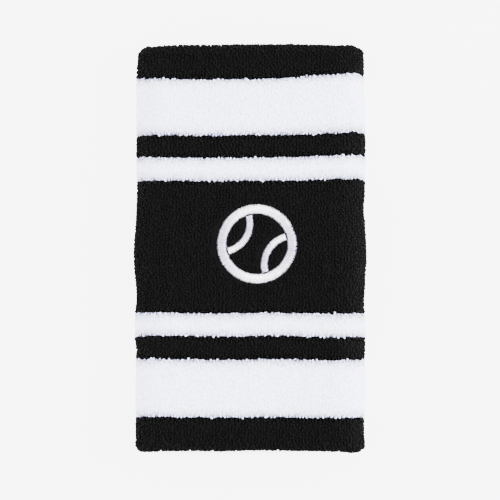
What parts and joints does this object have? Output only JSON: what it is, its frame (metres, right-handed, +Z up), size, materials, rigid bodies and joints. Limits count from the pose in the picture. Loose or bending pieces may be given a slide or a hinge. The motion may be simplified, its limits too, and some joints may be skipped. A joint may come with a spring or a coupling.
{
  "type": "sweat wristband",
  "caption": "Long terry sweat wristband lying flat: a doubled knitted tube in black and white stripes, with a folded hem at each end, a plain lining and an embroidered ball on the front.",
  "frame": {"origin": "on the table under the middle of the band, which lies flat on its back wall", "axes": "+X across the flat width, +Y along the tube towards its top end, +Z up through the front wall that carries the emblem"},
  "size_m": [0.071, 0.127, 0.0195],
  "materials": {
    "black_terry": "matt looped cotton terry",
    "white_terry": "matt looped cotton terry",
    "ground_knit": "matt fine knit",
    "seam_thread": "matt spun thread",
    "elastic_thread": "thread-covered elastic",
    "emblem_thread": "satin embroidery thread",
    "bobbin_thread": "spun bobbin thread",
    "emblem_backing": "nonwoven stabiliser"
  },
  "bodies": {
    "root": {"terry_hem_top": "black_terry", "terry_wide_white_top": "white_terry", "terry_narrow_black_top": "black_terry", "terry_narrow_white_top": "white_terry", "terry_centre_black": "black_terry", "terry_narrow_white_bottom": "white_terry", "terry_narrow_black_bottom": "black_terry", "terry_wide_white_bottom": "white_terry", "terry_hem_bottom": "black_terry", "lining_terry_top": "black_terry", "lining_terry_bottom": "black_terry", "ground_knit": "ground_knit", "closing_seam": "seam_thread", "elastic_thread_outer": "elastic_thread", "elastic_thread_lining": "elastic_thread", "emblem_rim": "emblem_thread", "emblem_seam_left": "emblem_thread", "emblem_seam_right": "emblem_thread", "emblem_bobbin_thread": "bobbin_thread", "emblem_backing": "emblem_backing"}
  },
  "joints": []
}
